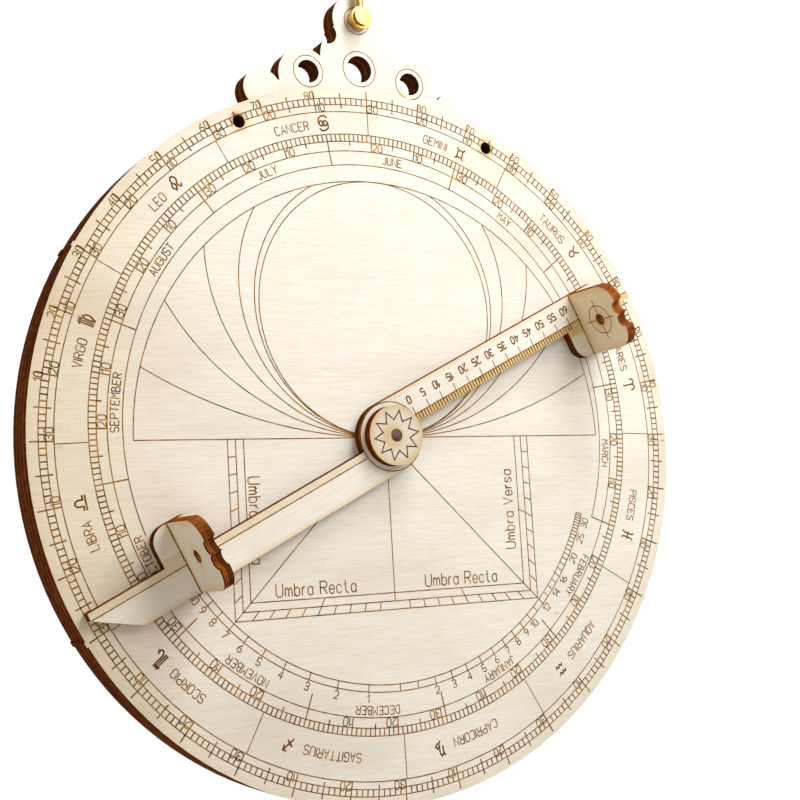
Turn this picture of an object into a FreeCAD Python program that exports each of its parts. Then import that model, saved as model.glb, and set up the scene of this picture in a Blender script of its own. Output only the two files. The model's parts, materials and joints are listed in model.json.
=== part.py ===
import FreeCAD, Part
import math
import os

# A hanging planispheric astrolabe cut from 3 mm birch plywood, in millimetres.
#
# Frame: +Z is up and the instrument hangs. The origin is the inside top of the thumb ring,
# where a finger or hook holds it. The disc stands in the XZ plane; its back, which carries
# the alidade, faces -Y, and its front, which carries the rete and rule, faces +Y.
# All flat pieces turn about one pivot axis, which runs along Y through (0, 0, axis_z).

SIZES = [
    # name, value, what it is
    ("ply", 3.0, "sheet thickness"),
    ("disc_radius", 97.0, "outside of the mater"),
    ("cavity_radius", 82.0, "inside of the limb and rim layers"),
    ("axis_z", -158.0, "height of the pivot axis"),
    ("pin_radius", 1.75, "pivot pin"),
    ("pin_bore", 1.8, "running bore on the pivot pin"),
    ("rim_hole_x", 38.65, "rim holes, either side of the middle"),
    ("rim_hole_up", 84.0, "rim holes above the axis"),
    ("rim_hole_radius", 1.75, "rim holes"),
    ("rim_hole_far_x", -38.65, "rim hole on the other side"),
    ("tab_width", 1.4, "stub left where a holding tab was broken off"),
    ("tab_proud", 0.35, "how far a stub stands out of the rim"),
    ("back_y", -6.0, "back face of the mater"),
    ("tongue_half", 14.0, "half width of the throne's tongue"),
    ("key_half", 2.5, "half width of the plate key"),
    ("key_low", 79.5, "inner end of the key below the axis"),
    ("key_high", 85.0, "outer end of the key below the axis"),
    ("plate_radius", 81.6, "climate plates"),
    ("plate_thick", 2.9, "climate plates"),
    ("plate_bore", 1.85, "bore of the climate plates"),
    ("key_gap", 0.15, "clearance of the plates on the key"),
    ("rete_y", 2.95, "back face of the rete"),
    ("rete_outer", 81.4, "outside of the rete"),
    ("rete_rim_inner", 75.5, "inside of the rete's outer band"),
    ("tropic_radius", 78.0, "tropic of the winter solstice on the plates"),
    ("obliquity", 23.44, "angle of the ecliptic, degrees"),
    ("ecliptic_width", 6.5, "radial width of the ecliptic band"),
    ("rete_bar", 5.0, "width of the rete's straight bars"),
    ("rete_arc_width", 4.0, "width of the equator arc"),
    ("rete_hub", 9.0, "radius of the rete's hub"),
    ("rule_y", 6.1, "back face of the rule"),
    ("alidade_y", -9.1, "outer face of the alidade bar"),
    ("alidade_angle", 26.0, "alidade at rest, degrees above level on the right"),
    ("arm_width", 9.5, "width of an arm, also the radius of its boss"),
    ("arm_length", 94.1, "pivot to tip"),
    ("tip_flat", 1.9, "width of the tip"),
    ("tip_run", 11.1, "length of the sloping cut at the tip"),
    ("lug_half", 7.15, "half length of a lug beside a sight"),
    ("lug_corner", 4.5, "corner radius of a lug"),
    ("sight_near", 65.2, "pivot to the sight on the plain arm"),
    ("sight_far", 75.2, "pivot to the sight on the graduated arm"),
    ("sight_height", 18.0, "sight plate above the bar"),
    ("sight_hump", 5.5, "radius of a sight's shoulders"),
    ("sight_notch", 1.9, "radius of the notches in a sight's top"),
    ("sight_hole", 1.75, "radius of a sighting hole"),
    ("sight_hole_up", 8.9, "sighting hole above the bar"),
    ("tenon_half", 4.0, "half width of a sight's tenon"),
    ("cap_radius", 8.1, "caps on the ends of the pivot pin"),
    ("cap_gap", 0.15, "front cap to the rule"),
    ("hanger_z", -40.0, "height of the shackle pin"),
    ("bush_outer", 2.6, "outside of the brass bush in the throne"),
    ("bush_inner", 1.55, "bore of the bush"),
    ("hanger_pin", 1.5, "radius of the shackle pin"),
    ("hanger_reach", 7.2, "half length of the shackle pin"),
    ("rivet_head", 2.5, "radius of the shackle pin's heads"),
    ("rivet_thick", 0.9, "thickness of the heads"),
    ("wire", 1.25, "radius of the brass wire of shackle and ring"),
    ("bow_radius", 4.85, "shackle bow, centre line"),
    ("bow_z", -29.45, "centre of the shackle's bow"),
    ("eye_radius", 3.1, "outside of the shackle's eyes"),
    ("eye_half", 1.4, "half thickness of an eye"),
    ("ring_radius", 14.25, "thumb ring, centre line"),
    ("ring_z", -13.0, "centre of the thumb ring"),
]

# Stars shown by the rete's pointers: right ascension in hours, declination in degrees, and
# where the pointer springs from, as seen from the front: (right, up) of the pivot.
POINTERS = [
    (18.62, 38.8, (0.0, 13.0)),
    (19.85, 8.9, (-38.5, 56.0)),
    (20.69, 45.3, (-19.0, 1.0)),
    (14.26, 19.2, (36.0, 1.0)),
    (13.42, -11.2, (54.0, 30.0)),
    (10.14, 12.0, (43.0, -6.5)),
    (7.65, 5.2, (28.0, -43.0)),
    (6.75, -16.7, (21.0, -75.0)),
    (5.24, -8.2, (-20.0, -47.5)),
    (4.60, 16.5, (-22.0, -27.5)),
    (9.46, -8.7, (38.0, -32.5)),
    (17.58, 12.6, (0.0, 31.0)),
    (5.28, 46.0, (0.0, -11.0)),
    (13.79, 49.3, (21.0, 1.0)),
    (0.73, -18.0, (-76.0, -20.0)),
    (23.08, 15.2, (-45.0, 1.0)),
    (3.04, 4.1, (-42.5, -27.0)),
]

doc = FreeCAD.newDocument("astrolabe")
sheet = doc.addObject("Spreadsheet::Sheet", "Sheet")
for row, (alias, value, note) in enumerate(SIZES, start=1):
    sheet.set(f"A{row}", note)
    sheet.set(f"B{row}", str(value))
    sheet.setAlias(f"B{row}", alias)
doc.recompute()

AXIS_Y = FreeCAD.Rotation(FreeCAD.Vector(1, 0, 0), -90)   # turns a +Z cylinder to +Y


def size(alias):
    return float(getattr(sheet, alias))


def bind(obj, **expressions):
    """Tie properties to sheet formulas; x, y and z mean the placement's base."""
    for prop, formula in expressions.items():
        path = {"x": ".Placement.Base.x", "y": ".Placement.Base.y",
                "z": ".Placement.Base.z"}.get(prop, prop)
        obj.setExpression(path, str(formula))
    return obj


def s(formula):
    """A formula over size names, written with the sheet's prefix in front of each name."""
    out, word = "", ""
    for ch in str(formula) + " ":
        if ch.isalnum() or ch == "_" or (ch == "." and word[:1].isdigit()):
            word += ch
            continue
        named = word and not word[0].isdigit() and word not in ("sqrt", "tan", "cos", "sin")
        out += ("Sheet." + word) if named else word
        out += ch
        word = ""
    return out.strip()


def box(name, x0, x1, y0, y1, z0, z1):
    """Box between two corners; every limit is a formula."""
    obj = doc.addObject("Part::Box", name)
    return bind(obj, Length=s(f"({x1}) - ({x0})"), Width=s(f"({y1}) - ({y0})"),
                Height=s(f"({z1}) - ({z0})"), x=s(x0), y=s(y0), z=s(z0))


def rod(name, radius, x, z, y0, y1):
    """Cylinder along Y."""
    obj = doc.addObject("Part::Cylinder", name)
    obj.Placement = FreeCAD.Placement(FreeCAD.Vector(0, 0, 0), AXIS_Y)
    return bind(obj, Radius=s(radius), Height=s(f"({y1}) - ({y0})"), x=s(x), y=s(y0), z=s(z))


def fuse(name, pieces):
    obj = doc.addObject("Part::MultiFuse", name)
    obj.Shapes = pieces
    obj.Refine = True
    return obj


def cut(name, base, tools):
    obj = doc.addObject("Part::Cut", name)
    obj.Base = base
    obj.Tool = tools[0] if len(tools) == 1 else fuse(name + "_tools", tools)
    obj.Refine = True
    return obj


def turned(obj, angle):
    """Carry a piece built around the origin to the pivot axis, turned anticlockwise
    by angle as seen from the back."""
    obj.Placement = FreeCAD.Placement(
        FreeCAD.Vector(0, 0, size("axis_z")),
        FreeCAD.Rotation(FreeCAD.Vector(0, -1, 0), angle))
    return bind(obj, z=s("axis_z"))


NODES = []


def node(obj, label):
    obj.Label = label
    NODES.append((obj, label))
    return obj


# ---------------------------------------------------------------- mater: four glued layers

def rim_holes(tag, y0, y1):
    return [rod(f"{tag}_hole_a", "rim_hole_radius", "rim_hole_x", "axis_z + rim_hole_up", y0, y1),
            rod(f"{tag}_hole_b", "rim_hole_radius", "rim_hole_far_x", "axis_z + rim_hole_up",
                y0, y1)]


def layer(tag, y0, y1):
    """Full disc with the four stubs of the tabs that held it in its sheet."""
    parts = [rod(f"{tag}_disc", "disc_radius", "0", "axis_z", y0, y1)]
    for angle in (30, 150, 210, 330):
        tab = box(f"{tag}_tab_{angle}", "disc_radius - 1", "disc_radius + tab_proud", y0, y1,
                  "0 - tab_width / 2", "tab_width / 2")
        turn = FreeCAD.Rotation(FreeCAD.Vector(0, -1, 0), angle)
        low = turn.multVec(FreeCAD.Vector(size("disc_radius") - 1, 0, -size("tab_width") / 2))
        tab.Placement = FreeCAD.Placement(low, turn)
        bind(tab, x=s(f"(disc_radius - 1) * cos({angle}) + tab_width / 2 * sin({angle})"),
             y=s(y0),
             z=s(f"axis_z + (disc_radius - 1) * sin({angle}) - tab_width / 2 * cos({angle})"))
        parts.append(tab)
    return fuse(f"{tag}_blank", parts)


node(cut("back", layer("back", "back_y", "back_y + ply"),
         [rod("back_bore", "pin_bore", "0", "axis_z", "back_y - 1", "back_y + ply + 1")]
         + rim_holes("back", "back_y - 1", "back_y + ply + 1")), "back_plate")

for tag, label, low in (("rear", "rim_ring_rear", "back_y + ply"),
                        ("mid", "rim_ring_mid", "back_y + 2 * ply")):
    lo, hi = f"{low} - 1", f"{low} + ply + 1"
    node(cut(tag, layer(tag, low, f"{low} + ply"),
             [rod(f"{tag}_cavity", "cavity_radius", "0", "axis_z", lo, hi),
              box(f"{tag}_tongue_gap", "0 - tongue_half", "tongue_half", lo, hi,
                  "axis_z + cavity_radius - 4", "axis_z + disc_radius + 2"),
              box(f"{tag}_key_gap", "0 - key_half", "key_half", lo, hi,
                  "axis_z - key_high", "axis_z - key_low")]
             + rim_holes(tag, lo, hi)), label)

node(cut("limb", layer("limb", "back_y + 3 * ply", "back_y + 4 * ply"),
         [rod("limb_cavity", "cavity_radius", "0", "axis_z", "back_y + 3 * ply - 1",
              "back_y + 4 * ply + 1")]
         + rim_holes("limb", "back_y + 3 * ply - 1", "back_y + 4 * ply + 1")), "limb_ring")

node(box("key", "0 - key_half", "key_half", "back_y + ply", "back_y + ply + 2 * plate_thick",
         "axis_z - key_high", "axis_z - key_low"), "plate_key")

# ---------------------------------------------------------------- climate plates

for tag, label, low in (("plate_a", "climate_plate_rear", "back_y + ply"),
                        ("plate_b", "climate_plate_front", "back_y + ply + plate_thick")):
    lo, hi = f"{low} - 1", f"{low} + plate_thick + 1"
    node(cut(tag, rod(f"{tag}_disc", "plate_radius", "0", "axis_z", low, f"{low} + plate_thick"),
             [rod(f"{tag}_bore", "plate_bore", "0", "axis_z", lo, hi),
              box(f"{tag}_slot", "0 - key_half - key_gap", "key_half + key_gap", lo, hi,
                  "axis_z - key_high", "axis_z - key_low + key_gap")]), label)

# ---------------------------------------------------------------- rete

EQUATOR = "tropic_radius * tan((90 - obliquity) / 2)"
CANCER = f"({EQUATOR}) * tan((90 - obliquity) / 2)"
rete_y0, rete_y1 = "rete_y", "rete_y + ply"


def band(name, outer, inner, up):
    """Flat ring in the rete's layer, its centre a given way above the axis."""
    return cut(name, rod(f"{name}_out", outer, "0", f"axis_z + {up}", rete_y0, rete_y1),
               [rod(f"{name}_in", inner, "0", f"axis_z + {up}", "rete_y - 1", "rete_y + ply + 1")])


ecliptic_up = f"(tropic_radius - {CANCER}) / 2"
ecliptic_radius = f"(tropic_radius + {CANCER}) / 2"
equator_arc = cut("rete_arc", band("rete_arc_band", f"{EQUATOR} + rete_arc_width / 2",
                                   f"{EQUATOR} - rete_arc_width / 2", "0"),
                  [box("rete_arc_upper", "0 - disc_radius", "disc_radius", "rete_y - 2",
                       "rete_y + ply + 2", "axis_z", "axis_z + disc_radius")])


def pointer_face(tip, root, half_width):
    """Curved dagger from its root to its tip, both (right, up) seen from the front."""
    (tx, tz), (rx, rz) = tip, root
    dx, dz = tx - rx, tz - rz
    length = math.hypot(dx, dz)
    nx, nz = -dz / length * half_width, dx / length * half_width
    y = size("rete_y")

    def point(px, pz):
        return FreeCAD.Vector(-px, y, pz + size("axis_z"))

    left, right, end = point(rx + nx, rz + nz), point(rx - nx, rz - nz), point(tx, tz)
    mid_x, mid_z = rx + dx * 0.5, rz + dz * 0.5
    edges = [Part.Arc(left, point(mid_x + nx * 1.5, mid_z + nz * 1.5), end).toShape(),
             Part.Arc(end, point(mid_x + nx * 0.1, mid_z + nz * 0.1), right).toShape(),
             Part.makeLine(right, left)]
    return Part.Face(Part.Wire(edges))


def pointer_solid():
    solid = None
    thick = FreeCAD.Vector(0, size("ply"), 0)
    equator = size("tropic_radius") * math.tan(math.radians((90 - size("obliquity")) / 2))
    for hours, dec, root in POINTERS:
        away = equator * math.tan(math.radians((90 - dec) / 2))
        turn = math.radians((hours - 18) * 15)
        tip = (-away * math.sin(turn), away * math.cos(turn))
        one = pointer_face(tip, root, 2.2).extrude(thick)
        solid = one if solid is None else solid.fuse(one)
    return solid


pointers = doc.addObject("Part::Feature", "rete_pointers")
pointers.Shape = pointer_solid()

rete_body = fuse("rete_body", [
    band("rete_rim", "rete_outer", "rete_rim_inner", "0"),
    band("rete_ecliptic", ecliptic_radius, f"{ecliptic_radius} - ecliptic_width", ecliptic_up),
    equator_arc,
    box("rete_level_bar", "0 - rete_rim_inner - 1", "rete_rim_inner + 1", rete_y0, rete_y1,
        "axis_z - rete_bar / 2", "axis_z + rete_bar / 2"),
    box("rete_upright_bar", "0 - rete_bar / 2", "rete_bar / 2", rete_y0, rete_y1,
        "axis_z - rete_rim_inner - 1", "axis_z + rete_rim_inner - 2"),
    rod("rete_hub_disc", "rete_hub", "0", "axis_z", rete_y0, rete_y1),
    pointers])
node(cut("rete_cut", rete_body,
         [rod("rete_bore", "pin_bore", "0", "axis_z", "rete_y - 1", "rete_y + ply + 1")]), "rete")

# ---------------------------------------------------------------- alidade, rule and caps


def arm(tag, y0, y1, side):
    """One arm along +X or -X from the pivot, one edge on the centre line, with a cut tip."""
    end = "arm_length"
    if side > 0:
        blade = box(f"{tag}_blade", "0", end, y0, y1, "0", "arm_width")
        corner = (size("arm_length"), size("tip_flat"))
    else:
        blade = box(f"{tag}_blade", f"0 - {end}", "0", y0, y1, "0 - arm_width", "0")
        corner = (-size("arm_length"), -size("tip_flat"))
    slope = math.degrees(math.atan2(size("arm_width") - size("tip_flat"), size("tip_run")))
    trim = doc.addObject("Part::Box", f"{tag}_trim")
    turn = FreeCAD.Rotation(FreeCAD.Vector(0, -1, 0), (180 - slope) + (0 if side > 0 else 180))
    shift = turn.multVec(FreeCAD.Vector(-5, 0, -20))
    trim.Placement = FreeCAD.Placement(
        FreeCAD.Vector(corner[0] + shift.x, 0, corner[1] + shift.z), turn)
    bind(trim, Length=s("tip_run * 3"), Width=s(f"({y1}) - ({y0}) + 2"), Height="20",
         y=s(f"{y0} - 1"))
    return cut(tag, blade, [trim])


def lug(tag, y0, y1, middle, side):
    """Rounded ear beside a sight, on the far side of the centre line from its arm."""
    low, high = ("0", "arm_width") if side > 0 else ("0 - arm_width", "0")
    in_low, in_high = (("0", "arm_width - lug_corner") if side > 0
                       else ("lug_corner - arm_width", "0"))
    pieces = [
        box(f"{tag}_wide", f"{middle} - lug_half", f"{middle} + lug_half", y0, y1,
            in_low, in_high),
        box(f"{tag}_tall", f"{middle} - lug_half + lug_corner",
            f"{middle} + lug_half - lug_corner", y0, y1, low, high)]
    for end, sign in (("a", "-"), ("b", "+")):
        other = "+" if sign == "-" else "-"
        centre = "arm_width - lug_corner" if side > 0 else "lug_corner - arm_width"
        pieces.append(rod(f"{tag}_corner_{end}", "lug_corner",
                          f"{middle} {sign} lug_half {other} lug_corner", centre, y0, y1))
    return pieces


def blade(tag, y0, y1, extras, slots, bore):
    """Counterchanged two-armed bar with a round boss on the pivot."""
    pieces = [arm(f"{tag}_right", y0, y1, 1), arm(f"{tag}_left", y0, y1, -1),
              rod(f"{tag}_boss", "arm_width", "0", "0", y0, y1)] + extras
    return cut(tag, fuse(f"{tag}_blank", pieces),
               [rod(f"{tag}_bore", bore, "0", "0", f"{y0} - 1", f"{y1} + 1")] + slots)


bar_y0, bar_y1 = "alidade_y", "alidade_y + ply"
near_u, far_u = "0 - sight_near", "sight_far"
slots = [box(f"slot_{tag}", f"{u} - ply / 2", f"{u} + ply / 2", "alidade_y - 1",
             "alidade_y + ply + 1", "0 - tenon_half", "tenon_half")
         for tag, u in (("near", near_u), ("far", far_u))]
alidade = blade("alidade", bar_y0, bar_y1,
                lug("lug_near", bar_y0, bar_y1, near_u, 1)
                + lug("lug_far", bar_y0, bar_y1, far_u, -1), slots, "pin_radius")
node(turned(alidade, size("alidade_angle")), "alidade_bar")


def flat_rod(name, radius, middle, v, up, grow="0"):
    """Cylinder along X through a sight's thickness; up is its height above the bar."""
    obj = doc.addObject("Part::Cylinder", name)
    obj.Placement = FreeCAD.Placement(FreeCAD.Vector(0, 0, 0),
                                      FreeCAD.Rotation(FreeCAD.Vector(0, 1, 0), 90))
    return bind(obj, Radius=s(radius), Height=s(f"ply + 2 * {grow}"),
                x=s(f"{middle} - ply / 2 - {grow}"), y=s(f"alidade_y - ({up})"), z=s(v))


def sight(tag, middle):
    """Upright sight plate with shouldered, twice-notched top, sighting hole and tenon."""
    lo, hi = f"{middle} - ply / 2", f"{middle} + ply / 2"
    hump_up = "sight_height - sight_hump"
    hump_v = "arm_width - sight_hump"
    pieces = [
        box(f"{tag}_body", lo, hi, f"alidade_y - ({hump_up})", "alidade_y",
            "0 - arm_width", "arm_width"),
        box(f"{tag}_middle", lo, hi, "alidade_y - sight_height", "alidade_y",
            f"0 - ({hump_v})", hump_v),
        box(f"{tag}_tenon", lo, hi, "alidade_y", "alidade_y + ply", "0 - tenon_half",
            "tenon_half"),
        flat_rod(f"{tag}_hump_a", "sight_hump", middle, hump_v, hump_up),
        flat_rod(f"{tag}_hump_b", "sight_hump", middle, f"0 - ({hump_v})", hump_up)]
    tools = [
        flat_rod(f"{tag}_notch_a", "sight_notch", middle, "sight_notch + 0.05",
                 "sight_height - 0.1", "1"),
        flat_rod(f"{tag}_notch_b", "sight_notch", middle, "0 - sight_notch - 0.05",
                 "sight_height - 0.1", "1"),
        flat_rod(f"{tag}_hole", "sight_hole", middle, "0", "sight_hole_up", "1")]
    return cut(tag, fuse(f"{tag}_blank", pieces), tools)


for tag, label, u in (("sight_a", "sight_plain", near_u), ("sight_b", "sight_crosshair", far_u)):
    node(turned(sight(tag, u), size("alidade_angle")), label)

rule = blade("rule", "rule_y", "rule_y + ply", [], [], "pin_bore")
node(turned(rule, 0), "rule")

cap_rear_y = "alidade_y - ply"
cap_front_y = "rule_y + ply + cap_gap"
for tag, label, low in (("cap_a", "star_cap_rear", cap_rear_y),
                        ("cap_b", "star_cap_front", cap_front_y)):
    node(cut(tag, rod(f"{tag}_disc", "cap_radius", "0", "axis_z", low, f"{low} + ply"),
             [rod(f"{tag}_bore", "pin_radius", "0", "axis_z", f"{low} - 1", f"{low} + ply + 1")]),
         label)
node(rod("pivot", "pin_radius", "0", "axis_z", cap_rear_y, f"{cap_front_y} + ply"), "pivot_pin")

# ---------------------------------------------------------------- throne, shackle and ring

# Lobes of the throne: how far sideways, how far above the pivot axis, radius.
LOBES = [(0, 106, 12), (0, 118, 7.5), (17, 100, 8), (30, 95, 5.5)]
PIERCINGS = [(16, 101.5, 3.2), (0, 104, 3.8)]
THROAT = (9.6, 113.2, 3.0)


def mirrored(spec):
    x, up, radius = spec
    return [spec] if x == 0 else [spec, (-x, up, radius)]


for tag, label, low in (("throne_a", "throne_rear", "back_y + ply"),
                        ("throne_b", "throne_front", "back_y + 2 * ply")):
    high = f"{low} + ply"
    lo, hi = f"{low} - 1", f"{low} + ply + 1"
    lobes = [rod(f"{tag}_lobe_{i}", radius, x, f"axis_z + {up}", low, high)
             for i, (x, up, radius) in enumerate(m for spec in LOBES for m in mirrored(spec))]
    crest = cut(f"{tag}_crest", fuse(f"{tag}_lobes", lobes + [
        box(f"{tag}_web", -29, 29, low, high, "axis_z + 90", "axis_z + 98")]),
        [rod(f"{tag}_seat", "disc_radius", "0", "axis_z", lo, hi)])
    tongue = box(f"{tag}_tongue", "0 - tongue_half", "tongue_half", low, high,
                 "axis_z + cavity_radius - 4", "axis_z + disc_radius + 1")
    holes = [rod(f"{tag}_pierce_{i}", radius, x, f"axis_z + {up}", lo, hi)
             for i, (x, up, radius) in enumerate(
                 m for spec in PIERCINGS + [THROAT] for m in mirrored(spec))]
    node(cut(tag, fuse(f"{tag}_blank", [crest, tongue]),
             [rod(f"{tag}_bore", "bush_outer", "0", "hanger_z", lo, hi),
              rod(f"{tag}_cavity", "cavity_radius", "0", "axis_z", lo, hi)] + holes), label)

node(cut("bush", rod("bush_body", "bush_outer", "0", "hanger_z", "0 - ply", "ply"),
         [rod("bush_bore", "bush_inner", "0", "hanger_z", "0 - ply - 1", "ply + 1")]),
     "throne_bush")

node(fuse("hanger", [
    rod("hanger_shaft", "hanger_pin", "0", "hanger_z", "0 - hanger_reach", "hanger_reach"),
    rod("hanger_head_a", "rivet_head", "0", "hanger_z", "0 - hanger_reach",
        "rivet_thick - hanger_reach"),
    rod("hanger_head_b", "rivet_head", "0", "hanger_z", "hanger_reach - rivet_thick",
        "hanger_reach")]), "shackle_pin")


def torus(name, radius, z, rotation, sweep=360):
    obj = doc.addObject("Part::Torus", name)
    obj.Angle3 = sweep
    obj.Placement = FreeCAD.Placement(FreeCAD.Vector(0, 0, 0), rotation)
    return bind(obj, Radius1=s(radius), Radius2=s("wire"), z=s(z))


def leg(tag, y):
    obj = doc.addObject("Part::Cylinder", tag)
    return bind(obj, Radius=s("wire"), Height=s("bow_z - hanger_z"), y=s(y), z=s("hanger_z"))


bow = torus("shackle_bow", "bow_radius", "bow_z",
            FreeCAD.Rotation(FreeCAD.Vector(1, 1, 1), 120), 180)
eyes = [rod("shackle_eye_a", "eye_radius", "0", "hanger_z", "0 - bow_radius - eye_half",
            "eye_half - bow_radius"),
        rod("shackle_eye_b", "eye_radius", "0", "hanger_z", "bow_radius - eye_half",
            "bow_radius + eye_half")]
node(cut("shackle", fuse("shackle_blank", [bow, leg("shackle_leg_a", "0 - bow_radius"),
                                           leg("shackle_leg_b", "bow_radius")] + eyes),
         [rod("shackle_bore", "hanger_pin", "0", "hanger_z", "0 - hanger_reach - 1",
              "hanger_reach + 1")]), "shackle_link")

node(torus("ring", "ring_radius", "ring_z",
           FreeCAD.Rotation(FreeCAD.Vector(1, 0, 0), 90)), "thumb_ring")

# ---------------------------------------------------------------- check and write

doc.recompute()
for obj in doc.Objects:
    state = " ".join(obj.State)
    if "Invalid" in state or "Error" in state:
        raise RuntimeError(f"{obj.Name}: {state}")
for obj, label in NODES:
    shape = obj.Shape
    if shape.isNull() or not shape.isValid() or len(shape.Solids) != 1:
        raise RuntimeError(f"{label}: bad shape, {len(shape.Solids)} solids")

os.makedirs("parts", exist_ok=True)
for obj, label in NODES:
    obj.Shape.exportStep(os.path.join("parts", label + ".step"))
print("wrote", len(NODES), "parts")
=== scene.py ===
import bpy
import json
import math
from mathutils import Matrix, Vector


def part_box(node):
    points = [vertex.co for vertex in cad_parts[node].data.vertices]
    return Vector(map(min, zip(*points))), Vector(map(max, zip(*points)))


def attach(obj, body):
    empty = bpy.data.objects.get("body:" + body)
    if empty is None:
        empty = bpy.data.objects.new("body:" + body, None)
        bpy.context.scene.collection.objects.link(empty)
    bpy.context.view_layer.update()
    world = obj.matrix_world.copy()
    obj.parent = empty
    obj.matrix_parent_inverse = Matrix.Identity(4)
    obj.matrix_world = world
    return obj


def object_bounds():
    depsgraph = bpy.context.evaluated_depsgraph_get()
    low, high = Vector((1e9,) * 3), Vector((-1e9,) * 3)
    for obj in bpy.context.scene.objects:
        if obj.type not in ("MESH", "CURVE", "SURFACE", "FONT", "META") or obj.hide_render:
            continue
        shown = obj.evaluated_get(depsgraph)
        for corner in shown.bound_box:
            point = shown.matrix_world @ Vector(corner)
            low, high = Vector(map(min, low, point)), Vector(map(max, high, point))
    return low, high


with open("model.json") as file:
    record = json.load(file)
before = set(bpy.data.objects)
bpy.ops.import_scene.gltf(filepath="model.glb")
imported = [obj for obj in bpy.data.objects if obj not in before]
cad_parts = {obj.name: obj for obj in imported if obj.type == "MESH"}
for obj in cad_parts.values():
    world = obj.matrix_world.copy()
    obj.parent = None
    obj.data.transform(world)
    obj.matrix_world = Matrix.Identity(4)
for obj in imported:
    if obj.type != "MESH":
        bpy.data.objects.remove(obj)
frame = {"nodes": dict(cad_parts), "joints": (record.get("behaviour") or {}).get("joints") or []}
cad_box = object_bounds()

# A laser-cut birch plywood astrolabe, hanging. Metres; +Z up; its engraved back faces -Y.

MM = 0.001
JOINTS = {joint["name"]: joint for joint in frame["joints"]}
PIVOT = Vector(JOINTS["alidade_turn"]["pos_m"])
BACK_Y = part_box("back_plate")[0].y
LIMB_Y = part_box("limb_ring")[1].y
PLATE_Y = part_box("climate_plate_front")[1].y
RETE_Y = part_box("rete")[1].y
RULE_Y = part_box("rule")[1].y
BAR_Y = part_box("alidade_bar")[0].y
CAP_BACK_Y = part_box("star_cap_rear")[0].y
CAP_FRONT_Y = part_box("star_cap_front")[1].y
THRONE_BACK_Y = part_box("throne_rear")[0].y
THRONE_FRONT_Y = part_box("throne_front")[1].y

# The sizes in this script are millimetres, and places in the disc's plane are measured from
# the pivot, unless a name or a comment says otherwise.
ALIDADE_ANGLE = math.radians(26.0)
SHEET = 3.0
DISC_RADIUS, CAP_RADIUS = 97.0, 8.1
ARM_WIDTH, ARM_LENGTH = 9.5, 94.1
SIGHT_NEAR, SIGHT_FAR = 65.2, 75.2         # the plain sight and the ruled arm's sight
SIGHT_HALF, SIGHT_HOLE_UP = 9.45, 8.9
HOLE_RADIUS = 1.75
RIM_HOLES = ((38.65, 84.0), (-38.65, 84.0))

# ------------------------------------------------------------------ node graphs


class Graph:
    """Short names for the nodes of one material or world."""

    def __init__(self, name, world=False):
        kind = bpy.data.worlds if world else bpy.data.materials
        self.owner = kind.new(name)
        self.owner.use_nodes = True
        self.nodes = self.owner.node_tree.nodes
        self.links = self.owner.node_tree.links
        self.nodes.clear()
        self.shader = self.nodes.new("ShaderNodeBackground" if world
                                     else "ShaderNodeBsdfPrincipled")
        out = self.nodes.new("ShaderNodeOutputWorld" if world else "ShaderNodeOutputMaterial")
        self.links.new(self.shader.outputs[0], out.inputs["Surface"])
        self.coords = self.nodes.new("ShaderNodeTexCoord")

    def put(self, socket, value):
        if isinstance(value, bpy.types.NodeSocket):
            self.links.new(value, socket)
        else:
            socket.default_value = value

    def math(self, op, a, b=0.0, c=0.0, clamp=False):
        node = self.nodes.new("ShaderNodeMath")
        node.operation, node.use_clamp = op, clamp
        for socket, value in zip(node.inputs, (a, b, c)):
            self.put(socket, value)
        return node.outputs[0]

    def vector(self, op, a, b=(0, 0, 0)):
        node = self.nodes.new("ShaderNodeVectorMath")
        node.operation = op
        self.put(node.inputs[0], a)
        self.put(node.inputs[1], b)
        return node.outputs["Value"] if op in ("DOT_PRODUCT", "LENGTH") else node.outputs[0]

    def dot(self, direction, source="Object"):
        return self.vector("DOT_PRODUCT", self.coords.outputs[source], tuple(direction))

    def join(self, x, y, z):
        node = self.nodes.new("ShaderNodeCombineXYZ")
        for socket, value in zip(node.inputs, (x, y, z)):
            self.put(socket, value)
        return node.outputs[0]

    def noise(self, vector, scale=1.0, detail=3.0, rough=0.55):
        node = self.nodes.new("ShaderNodeTexNoise")
        self.put(node.inputs["Vector"], vector)
        self.put(node.inputs["Scale"], scale)
        self.put(node.inputs["Detail"], detail)
        self.put(node.inputs["Roughness"], rough)
        return node.outputs["Fac"]

    def spots(self, vector):
        node = self.nodes.new("ShaderNodeTexVoronoi")
        self.put(node.inputs["Vector"], vector)
        self.put(node.inputs["Scale"], 1.0)
        return node.outputs["Distance"]

    def smooth(self, value, low, high):
        """0 below low, 1 above high, or the other way round where low is larger."""
        node = self.nodes.new("ShaderNodeMapRange")
        node.interpolation_type = "SMOOTHSTEP"
        flip = low > high
        low, high = min(low, high), max(low, high)
        for socket, item in zip(node.inputs, (value, low, high, float(flip), 1.0 - flip)):
            self.put(socket, item)
        return node.outputs[0]

    def mix(self, factor, a, b, mode="MIX"):
        node = self.nodes.new("ShaderNodeMix")
        node.data_type, node.blend_type = "RGBA", mode
        self.put(node.inputs[0], factor)
        for socket, value in ((node.inputs[6], a), (node.inputs[7], b)):
            self.put(socket, value if isinstance(value, bpy.types.NodeSocket) else (*value, 1.0))
        return node.outputs[2]

    def bump(self, height, distance, strength):
        node = self.nodes.new("ShaderNodeBump")
        self.put(node.inputs["Height"], height)
        node.inputs["Distance"].default_value = distance
        node.inputs["Strength"].default_value = strength
        self.links.new(node.outputs[0], self.shader.inputs["Normal"])


def srgb(r, g, b):
    """Colour given as 0-255 display values."""
    return tuple(((c / 255 + 0.055) / 1.055) ** 2.4 if c > 10 else c / 255 / 12.92
                 for c in (r, g, b))


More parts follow.
